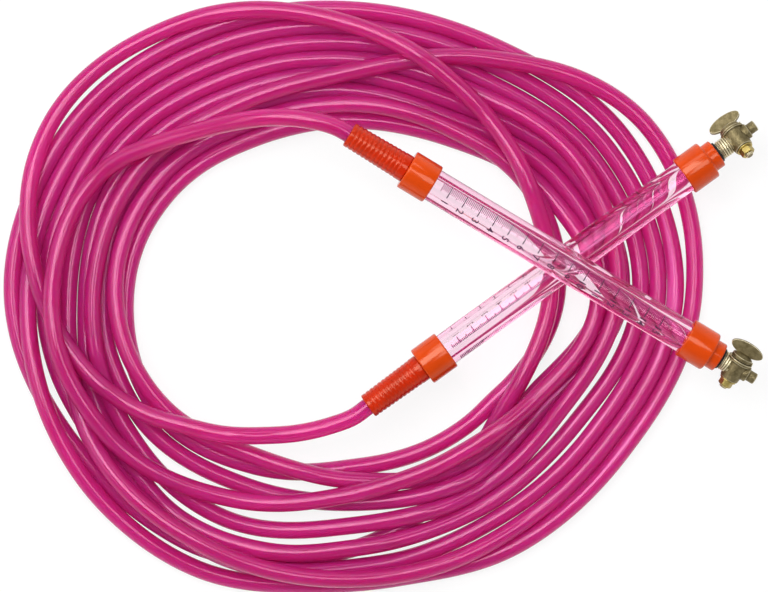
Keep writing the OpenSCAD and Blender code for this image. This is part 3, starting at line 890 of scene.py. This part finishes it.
class WATERLEVEL_OT_hose(bpy.types.Operator):
    """Lay the hose from gauge A through its loose coil to gauge B"""

    bl_idname = "water_level.hose"
    bl_label = "Hose"

    def execute(self, context):
        sizes, gauge = in_mm("hose"), in_mm("gauge")
        guard_foot = -gauge.cap_length - gauge.guard_length
        points, wound = laid_route(sizes, guard_foot, guard_foot + HIDDEN_HOSE)
        points = settled(points, wound, sizes, gauge) * MM
        at = np.arange(len(points), dtype=float)
        finer = np.linspace(0, at[-1], int(at[-1] / settings().hose.ring_share) + 1)
        points = np.stack([through(at, points[:, k], finer) for k in range(3)], 1)
        mesh = swept_mesh("hose", points, settings().hose.diameter / 2, sizes.ring_sides)
        stands_for = ("hose_coil", "hose_tail_a", "hose_tail_b")
        hose = finished("hose", mesh, hose_finish(), "level", stands_for, sharp=0)
        return {"FINISHED"}


# Gauges

# Details of the gauges in mm: edges, the barbed nipple, and the plain ends and ribs of the bend guard
SOFT_EDGE, MOUTH_EDGE = 0.3, 0.35
NIPPLE_BORE, BARBS, BARB_WAIST, BARB_TOP = 2.5, 3, 3.45, 3.95
GUARD_LIP, GUARD_SHOULDER, GUARD_SLOPE = 3.0, 5.0, 0.6
RIB_SHARE, RIB_STRETCH, RIB_START, RIB_OUT = 0.07, 2.6, 0.55, 0.1
# Millimetres between the numbered marks
NUMBER_STEP = 10


class WATERLEVEL_OT_tubes(bpy.types.Operator):
    """Make the clear gauge tubes"""

    bl_idname = "water_level.tubes"
    bl_label = "Clear Tubes"

    def execute(self, context):
        g = in_mm("gauge")
        outer, low, high = g.tube_diameter / 2, -g.tube_seat, g.tube_view + g.tube_seat
        inner = outer - g.tube_wall
        wall = ring_outline(inner, outer, low, high, SOFT_EDGE, SOFT_EDGE)
        for side in SIDES:
            turned_piece(f"clear_tube_{side}", wall, TUBE_SIDES, gauge_frame(side), clear_finish(side), "level",
                         f"gauge_tube_{side}")
        return {"FINISHED"}


def numerals_mesh(sizes, radius, turn):
    """Numerals 1, 2, 3 and on beside the centimetre marks, wrapped round a tube, in mm."""
    bm = bmesh.new()
    for number in range(1, sizes.last // NUMBER_STEP + 1):
        text = bpy.data.curves.new("numeral", "FONT")
        text.body = str(number)
        text.size = sizes.numeral
        text.offset = sizes.bold
        text.align_x = text.align_y = "CENTER"
        flat = evaluated(scratch_object("numeral", text))
        bpy.data.curves.remove(text)
        for vertex in flat.vertices:
            angle = math.pi + turn + (sizes.numeral_place + vertex.co.x) / radius
            vertex.co = (radius * math.cos(angle), radius * math.sin(angle), NUMBER_STEP * number + vertex.co.y)
        bm.from_mesh(flat)
        bpy.data.meshes.remove(flat)
    return bm


class WATERLEVEL_OT_scales(bpy.types.Operator):
    """Print the millimetre scales on the tubes"""

    bl_idname = "water_level.scales"
    bl_label = "Scales"

    def execute(self, context):
        sizes = in_mm("scale")
        radius = in_mm("gauge").tube_diameter / 2 + sizes.print_gap
        tree = mark_tree()
        for side in SIDES:
            turn = getattr(sizes, f"turn_{side}")
            far = "far_" if side == "b" else ""
            fine, stroke = getattr(sizes, far + "fine"), getattr(sizes, far + "stroke")
            hatch_ink = plain_finish("ink" if far else "hatch")
            half = fine + sizes.half - sizes.fine
            print_place = {"Left": sizes.left, "Turn": turn}
            hatch = grown("hatch", bpy.data.meshes.new("hatch"), tree, {
                "Marks": sizes.last - sizes.first + 1, "First": float(sizes.first), "Step": 1.0,
                "Fine": fine, "Half": half, "Long": half, "Stroke": stroke,
                "Radius": radius, "Finish": hatch_ink, **print_place,
            })
            hatch.transform(gauge_frame(side))
            finished(f"hatch_{side}", hatch, hatch_ink, "level", sharp=0)
            marks = grown("marks", bpy.data.meshes.new("marks"), tree, {
                "Marks": sizes.last // NUMBER_STEP, "First": float(NUMBER_STEP), "Step": float(NUMBER_STEP),
                **dict.fromkeys(("Fine", "Half", "Long"), sizes.long), "Stroke": sizes.stroke,
                "Radius": radius + sizes.print_gap, "Finish": plain_finish("ink"), **print_place,
            })
            bm = numerals_mesh(sizes, radius, turn)
            bm.from_mesh(marks)
            bpy.data.meshes.remove(marks)
            bm.normal_update()
            inward = [f for f in bm.faces if f.normal.to_2d().dot(f.calc_center_median().to_2d()) < 0]
            bmesh.ops.reverse_faces(bm, faces=inward)
            bmesh.ops.transform(bm, matrix=gauge_frame(side), verts=bm.verts)
            finished(f"scale_{side}", mesh_of(bm, "scale"), plain_finish("ink"), "level", sharp=0)
        return {"FINISHED"}


class WATERLEVEL_OT_caps(bpy.types.Operator):
    """Make the hose caps with their barbed nipples and the valve caps with their bosses"""

    bl_idname = "water_level.caps"
    bl_label = "Caps"

    def execute(self, context):
        g, v = in_mm("gauge"), in_mm("valve")
        outer, socket, edge = g.cap_diameter / 2, g.tube_diameter / 2 + FIT_GAP, g.cap_edge
        seat = g.tube_seat + g.seal
        foot, neck, way = -g.cap_length, g.neck_diameter / 2, NIPPLE_BORE
        tip = foot - g.neck_length - g.nipple_length
        barbs = []
        for k in range(BARBS):
            low, high = (tip + n * g.nipple_length / BARBS for n in (k, k + 1))
            barbs += [(BARB_WAIST, low, 0), (BARB_TOP, high, 0)]
        hose_cap = [(way, tip, 0)] + barbs + [
            (neck, foot - g.neck_length, SOFT_EDGE), (neck, foot, 0), (outer, foot, edge), (outer, 0, edge),
            (socket, 0, MOUTH_EDGE), (socket, -seat, 0), (way, -seat, 0),
        ]
        low, high, bore = g.tube_view, g.tube_view + g.cap_length, v.spigot_diameter / 2 + FIT_GAP
        boss, top = g.boss_diameter / 2, g.tube_view + g.cap_length + g.boss_length
        shoulder, boss_edge = 1.3, 0.8
        valve_cap = [
            (socket, low, MOUTH_EDGE), (outer, low, edge), (outer, high, shoulder), (boss, high, boss_edge),
            (boss, top, boss_edge), (bore, top, SOFT_EDGE), (bore, low + seat, 0), (socket, low + seat, 0),
        ]
        for side in SIDES:
            for name, outline in ((f"hose_cap_{side}", hose_cap), (f"valve_cap_{side}", valve_cap)):
                turned_piece(f"moulded_{name}", outline, CAP_SIDES, gauge_frame(side), plain_finish("cap"), "level",
                             name)
        return {"FINISHED"}


class WATERLEVEL_OT_guards(bpy.types.Operator):
    """Make the ribbed bend guards round the hose"""

    bl_idname = "water_level.guards"
    bl_label = "Bend Guards"

    def execute(self, context):
        g = in_mm("gauge")
        foot, top = -g.cap_length - g.guard_length, -g.cap_length
        tip, root, groove = g.guard_tip_diameter / 2, g.guard_diameter / 2, g.guard_groove
        bore = in_mm("hose").diameter / 2 + FIT_GAP
        lip, shoulder = foot + GUARD_LIP, top - GUARD_SHOULDER
        neck, neck_foot = bore + 1, top - g.neck_length
        pitch = (g.guard_length - GUARD_LIP - GUARD_SHOULDER) / g.guard_ribs
        outline = [
            (bore, foot, 0.3), (tip, foot, 0.9), (tip, lip - GUARD_SLOPE, 0.5), (tip - groove, lip, 0.3),
            (root - groove, shoulder, 0.3), (root, shoulder + GUARD_SLOPE, 0.5), (root, top, 0.6),
            (neck, top, 0), (neck, neck_foot, 0), (bore, neck_foot, 0),
        ]
        tree = rib_tree()
        step = (root - tip) / (g.guard_length / pitch) / (1 + RIB_SHARE)
        for side in SIDES:
            mesh = grown("guard", turned_mesh("guard", rounded(outline), SMALL_SIDES), tree, {
                "Ribs": g.guard_ribs, "First": lip + pitch * RIB_START, "Pitch": pitch,
                "Tip Radius": (tip + RIB_OUT) / (1 + RIB_SHARE), "Radius Step": step,
                "Rib Share": RIB_SHARE, "Rib Stretch": RIB_STRETCH, "Finish": plain_finish("guard"),
            })
            mesh.transform(gauge_frame(side))
            finished(f"ribbed_guard_{side}", mesh, plain_finish("guard"), "level", (f"bend_guard_{side}",))
        return {"FINISHED"}


class WATERLEVEL_OT_seals(bpy.types.Operator):
    """Make the black rings under the stopcocks and finish the seals inside the caps"""

    bl_idname = "water_level.seals"
    bl_label = "Seals"

    def execute(self, context):
        g, v = in_mm("gauge"), in_mm("valve")
        low = g.tube_view + g.cap_length + g.boss_length
        high, outer, inner = low + v.seal, v.seal_diameter / 2, v.spigot_diameter / 2 + FIT_GAP
        ring = ring_outline(inner, outer, low, high, 0.4, 0.8)
        for side in SIDES:
            turned_piece(f"black_ring_{side}", ring, RING_SIDES, gauge_frame(side), plain_finish("rubber"), "level",
                         f"valve_seal_{side}")
            for node in (f"hose_end_seal_{side}", f"valve_end_seal_{side}"):
                for material_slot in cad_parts[node].material_slots:
                    material_slot.material = plain_finish("rubber")
        return {"FINISHED"}


# Stopcocks

# Details of the stopcocks in mm: size of the casting's cells, pitch and ridge of the threads, and the stop lug
BODY_CELL, PLUG_CELL = 0.17, 0.15
BODY_PITCH, BODY_RIDGE, BODY_DEPTH, BODY_START, BODY_THREAD_END = 1.3, 0.55, 0.5, 0.25, -4.2
TAIL_PITCH, TAIL_RIDGE, TAIL_DEPTH, TAIL_START, TAIL_END = 0.8, 0.3, 0.32, 0.4, 0.5
LUG, LUG_HEIGHT, LUG_INSET, LUG_OUT = 1.3, 2.2, 1.6, 0.5
# Depth of the cores under the spigot, the thread that shows and the tail's thread, and the slope under the rim
SPIGOT_CORE, THREAD_CORE, TAIL_CORE, RIM_SLOPE = 0.45, 0.6, 0.35, 0.5
# Depth to which the spigot and the outlet run into the barrel, and the step at the outlet's root
SPIGOT_END, THREAD_END, OUTLET_START = -4, -3, 4.5
ROOT_LENGTH, ROOT_END = 1.4, 1.9
# Play of the collar over the barrel, the dome above the collar, and how far the plate's neck and faces stand in
COLLAR_PLAY, DOME, DOME_RADIUS, NECK_INSET, PLATE_INSET = 0.3, 1.6, 3.4, 2.2, 0.5
NUT_CHAMFER, NUT_OVER, NUT_EDGE = 0.55, 0.35, 0.12
# Lift of the thumb plate's oval as a share of its half height
PLATE_LIFT = 0.18
# Angles in degrees from which an edge looks sharp
CAST_SHARP, NUT_SHARP = 50, 25


def cast_piece(kind, side, core, turn, body, tree, thread):
    """Casting with a thread along its turned axis, pale at its edges as wear and painted highlight."""
    core.transform(turn.inverted())
    mesh = grown(kind, core, tree, {**thread, "Finish": cast_finish()})
    mark_wear(mesh)
    mesh.transform(cock_frame(side) @ turn)
    finished(f"cast_{kind}_{side}", mesh, cast_finish(), body, (f"valve_{kind}_{side}",), CAST_SHARP)


class WATERLEVEL_OT_bodies(bpy.types.Operator):
    """Make the cast stopcock bodies with their threaded spigots and outlets"""

    bl_idname = "water_level.bodies"
    bl_label = "Stopcock Bodies"

    def execute(self, context):
        v = in_mm("valve")
        way, spigot, root = v.way / 2, v.spigot_diameter / 2, -v.reach - v.spigot_depth
        wide, tip, rim = v.barrel_diameter / 2, v.barrel_tip_diameter / 2, v.rim_diameter / 2
        plug, plug_tip = v.plug_diameter / 2 + TAPER_GAP, v.plug_tip_diameter / 2 + TAPER_GAP
        ring, pipe, reach = v.outlet_ring_diameter / 2, v.outlet_diameter / 2, v.outlet_reach
        near, far, thread = -v.barrel_in, v.barrel_out, v.thread_diameter / 2
        below, core_radius, thread_core = far - v.rim, spigot - SPIGOT_CORE, thread - THREAD_CORE
        spigot_core = [(way, root, 0), (core_radius, root, 0.4), (core_radius, SPIGOT_END, 0), (way, SPIGOT_END, 0)]
        barrel = [
            (plug_tip, near, 0.2), (tip, near, 0.5), (wide, below - RIM_SLOPE, 0.6), (rim, below, 0.3),
            (rim, far, 0.35), (plug, far, 0.2),
        ]
        outlet = [
            (way, OUTLET_START, 0), (ring, OUTLET_START, 0), (ring, wide + ROOT_LENGTH, 0.6),
            (pipe, wide + ROOT_END, 0.5), (pipe, reach, 0.5), (way, reach, 0.3),
        ]
        lug = rounded([(x * LUG, y * LUG, 0.2) for x, y in ((-1, -1), (1, -1), (1, 1), (-1, 1))], 2)
        lug_place = Matrix.Translation((far + LUG_OUT, 0, rim - LUG_INSET)) @ ALONG_PLUG
        tree = thread_tree()
        for side in SIDES:
            foot = FIT_GAP + v.seal - v.reach - GAUGE_PLACES[side][4]
            run = BODY_THREAD_END - foot
            bm = bmesh.new()
            turned(bm, rounded(spigot_core), PIPE_SIDES)
            turned(bm, rounded(barrel), SMALL_SIDES, ALONG_PLUG)
            turned(bm, rounded(outlet), PIPE_SIDES)
            extruded(bm, lug, LUG_HEIGHT, lug_place)
            turned(bm, rounded([
                (way, foot, 0), (thread_core, foot, 0.2), (thread_core, THREAD_END, 0), (way, THREAD_END, 0),
            ]), PIPE_SIDES)
            cast_piece("body", side, cast_mesh(bm, "body", BODY_CELL), Matrix.Identity(4), "level", tree, {
                "Radius": thread - BODY_DEPTH, "Height": run, "Turns": run / BODY_PITCH, "Ridge": BODY_RIDGE,
                "Foot": foot + BODY_START,
            })
        return {"FINISHED"}


def plate_outline(width, height, neck):
    """Oval thumb plate on a neck, from (across, up)."""
    reach, high = width / 2, height / 2
    lift, rise = PLATE_LIFT * high, (1 - PLATE_LIFT) * high
    start = math.asin(neck / reach)
    turns = np.linspace(start, 2 * math.pi - start, 48)
    oval = [(-reach * math.sin(t), lift - rise * math.cos(t), 0) for t in turns]
    return rounded([(neck, -high, 0), *reversed(oval), (-neck, -high, 0)], 6)


class WATERLEVEL_OT_plugs(bpy.types.Operator):
    """Make the tapered plugs with their thumb plates and threaded tails"""

    bl_idname = "water_level.plugs"
    bl_label = "Plugs"

    def execute(self, context):
        v = in_mm("valve")
        plug, tip, tail = v.plug_diameter / 2, v.plug_tip_diameter / 2, v.tail_diameter / 2
        near, far, collar = -v.barrel_in, v.barrel_out, v.collar_diameter / 2
        foot = far + COLLAR_PLAY
        end = near - TAPER_GAP - v.washer - v.nut - v.tail_out
        tail_core, top, run = tail - TAIL_CORE, foot + v.collar, near - end - TAIL_END
        outline = [
            (0, end, 0), (tail_core, end, 0.4), (tail_core, near, 0), (tip, near, 0), (plug, far, 0), (plug, foot, 0),
            (collar, foot, 0.3), (collar, top, 0.4), (DOME_RADIUS, top + DOME, 0.8), (0, top + DOME, 0),
        ]
        plate = plate_outline(v.plate_width, v.plate_height, collar - NECK_INSET)
        upright = Matrix.Rotation(QUARTER, 4, "X") @ Matrix.Rotation(-QUARTER, 4, "Z")
        plate_place = Matrix.Translation((foot + v.plate_height / 2 + v.collar / 2, 0, 0)) @ upright
        tree = thread_tree()
        for side in SIDES:
            bm = bmesh.new()
            turned(bm, rounded(outline), SMALL_SIDES, ALONG_PLUG)
            extruded(bm, plate, v.plate - PLATE_INSET, plate_place)
            cast_piece("plug", side, cast_mesh(bm, "plug", PLUG_CELL), ALONG_PLUG, f"plug_{side}", tree, {
                "Radius": tail - TAIL_DEPTH, "Height": run, "Turns": run / TAIL_PITCH, "Ridge": TAIL_RIDGE,
                "Foot": end + TAIL_START,
            })
        return {"FINISHED"}


class WATERLEVEL_OT_nuts(bpy.types.Operator):
    """Make the washers and chamfered nuts that hold the plugs"""

    bl_idname = "water_level.nuts"
    bl_label = "Washers and Nuts"

    def execute(self, context):
        v = in_mm("valve")
        hole, wide = v.tail_diameter / 2 + FIT_GAP, v.washer_diameter / 2
        high = -v.barrel_in - TAPER_GAP
        low = high - v.washer
        foot, corner = low - v.nut, v.nut_flats / 2 / math.cos(math.pi / 6)
        washer = ring_outline(hole, wide, low, high, 0.15, 0.35)
        plain_nut = [(hole, foot), (corner, foot), (corner, low), (hole, low)]
        inner, over = corner - NUT_CHAMFER, corner + NUT_OVER
        chamfered = [
            (0, foot, 0), (inner, foot, 0.1), (over, foot + NUT_CHAMFER, 0), (over, low - NUT_CHAMFER, 0),
            (inner, low, 0.1), (0, low, 0),
        ]
        for side in SIDES:
            place = cock_frame(side) @ ALONG_PLUG
            body, finish = f"plug_{side}", plain_finish("bright_brass")
            turned_piece(f"turned_washer_{side}", washer, SMALL_SIDES, place, finish, body,
                         f"plug_washer_{side}")
            hexagon = scratch_object("nut", turned_mesh("nut", plain_nut, 6))
            cone = scratch_object("cone", turned_mesh("cone", rounded(chamfered), SMALL_SIDES))
            chamfer = hexagon.modifiers.new("Chamfer", "BOOLEAN")
            chamfer.operation = "INTERSECT"
            chamfer.object = cone
            edge = hexagon.modifiers.new("Edge", "BEVEL")
            edge.width = NUT_EDGE
            edge.segments = 2
            edge.limit_method = "ANGLE"
            mesh = evaluated(hexagon)
            bpy.data.objects.remove(cone)
            mesh.transform(place)
            finished(f"hexagon_nut_{side}", mesh, finish, body, (f"plug_nut_{side}",), NUT_SHARP)
        return {"FINISHED"}


# Stage

# Place, width and depth of each soft light, in metres
LIGHTS = {
    "key": ((-0.53, 0.53, 2.07), 1.26, 1.26),
    "back": ((0.0, 1.7, 1.75), 2.4, 0.55),
    "side": ((-1.7, 0.2, 1.75), 2.0, 0.9),
    "fill": ((0.6, 0.1, 2.1), 0.8, 0.8),
}
# Place of the camera over the coil in metres, and its sensor in mm
CAMERA_PLACE = (0.0176, -0.0006)
SENSOR = 36.0


def grey(share):
    return (share, share, share, 1.0)


def floor_finish():
    """Pale floor that shows near white to the camera, in a gloss and through the tubes, with the shadow kept."""
    stage = settings().stage
    material = bpy.data.materials.new("Pale Floor")
    material.use_nodes = True
    tree = material.node_tree
    add, shader = adder(tree), tree.nodes["Principled BSDF"]
    fill(tree, shader, {"Base Color": grey(stage.floor_grey), "Roughness": 0.9, "Specular IOR Level": 0.0})
    soft = add("ShaderNodeBsdfDiffuse", Color=grey(1 - stage.floor_glow))[0]
    glow = add("ShaderNodeEmission", Strength=stage.floor_glow)[0]
    path = add("ShaderNodeLightPath")
    most = {"operation": "MAXIMUM"}
    seen = add("ShaderNodeMath", most, i0=path["Is Camera Ray"], i1=path["Is Glossy Ray"])[0]
    seen = add("ShaderNodeMath", most, i0=seen, i1=path["Is Transmission Ray"])[0]
    pale = add("ShaderNodeAddShader", i0=soft, i1=glow)[0]
    surface = add("ShaderNodeMixShader", i0=seen, i1=shader.outputs[0], i2=pale)[0]
    fill(tree, tree.nodes["Material Output"], {"Surface": surface})
    return material


def soft_light(name, place, width, depth, power):
    """Rectangle of light that points at the middle of the coil."""
    light = bpy.data.lights.new(name, "AREA")
    light.shape = "RECTANGLE"
    light.size = width
    light.size_y = depth
    light.energy = power
    lamp = scratch_object(name, light)
    lamp.location = place
    lamp.rotation_euler = (Vector() - Vector(place)).to_track_quat("-Z", "Y").to_euler()
    lamp.visible_camera = False


class WATERLEVEL_OT_stage(bpy.types.Operator):
    """Set up the camera, the pale floor and the soft light"""

    bl_idname = "water_level.stage"
    bl_label = "Stage"

    def execute(self, context):
        stage = settings().stage
        lens = bpy.data.cameras.new("camera")
        lens.sensor_width = SENSOR
        lens.lens = SENSOR * (stage.camera_height - stage.view_level) / stage.view_width
        lens.clip_end = 50.0
        camera = scratch_object("camera", lens)
        camera.location = (*CAMERA_PLACE, stage.camera_height)
        context.scene.camera = camera

        bm = bmesh.new()
        bmesh.ops.create_grid(bm, x_segments=4, y_segments=4, size=stage.floor_size / 2)
        mesh = mesh_of(bm, "floor")
        mesh.materials.append(floor_finish())
        floor = scratch_object("floor", mesh)

        for name, (place, width, depth) in LIGHTS.items():
            soft_light(name, place, width, depth, getattr(stage, name))

        world = bpy.data.worlds.new("studio")
        world.use_nodes = True
        context.scene.world = world
        tree = world.node_tree
        add = adder(tree)
        height = add("ShaderNodeSeparateXYZ", i0=add("ShaderNodeTexCoord")["Generated"])["Z"]
        rise = add("ShaderNodeMapRange", Value=height, From_Min=0.15, From_Max=0.6,
                   To_Min=stage.backdrop, To_Max=stage.sky)
        fill(tree, tree.nodes["Background"], {"Color": grey(1.0), "Strength": rise["Result"]})
        context.scene.view_settings.view_transform = "Standard"
        return {"FINISHED"}


PIECES = (
    WATERLEVEL_OT_stage, WATERLEVEL_OT_hose, WATERLEVEL_OT_tubes, WATERLEVEL_OT_scales, WATERLEVEL_OT_caps,
    WATERLEVEL_OT_guards, WATERLEVEL_OT_seals, WATERLEVEL_OT_bodies, WATERLEVEL_OT_plugs, WATERLEVEL_OT_nuts,
)


class WATERLEVEL_PT_panel(bpy.types.Panel):
    bl_idname = "WATERLEVEL_PT_panel"
    bl_label = "Water Level"
    bl_space_type = "VIEW_3D"
    bl_region_type = "UI"
    bl_category = "Water Level"

    def draw(self, context):
        for piece in PIECES:
            self.layout.operator(piece.bl_idname)


CLASSES = (
    WATERLEVEL_PG_hose, WATERLEVEL_PG_gauge, WATERLEVEL_PG_scale, WATERLEVEL_PG_valve, WATERLEVEL_PG_finish,
    WATERLEVEL_PG_stage, WATERLEVEL_PG_settings, *PIECES, WATERLEVEL_PT_panel,
)


def register():
    for cls in CLASSES:
        bpy.utils.register_class(cls)
    bpy.types.Scene.water_level = PointerProperty(type=WATERLEVEL_PG_settings)


def unregister():
    del bpy.types.Scene.water_level
    for cls in reversed(CLASSES):
        bpy.utils.unregister_class(cls)


def main():
    register()
    for piece in PIECES:
        group, name = piece.bl_idname.split(".")
        getattr(getattr(bpy.ops, group), name)()
    bpy.context.view_layer.update()


if __name__ == "__main__":
    main()
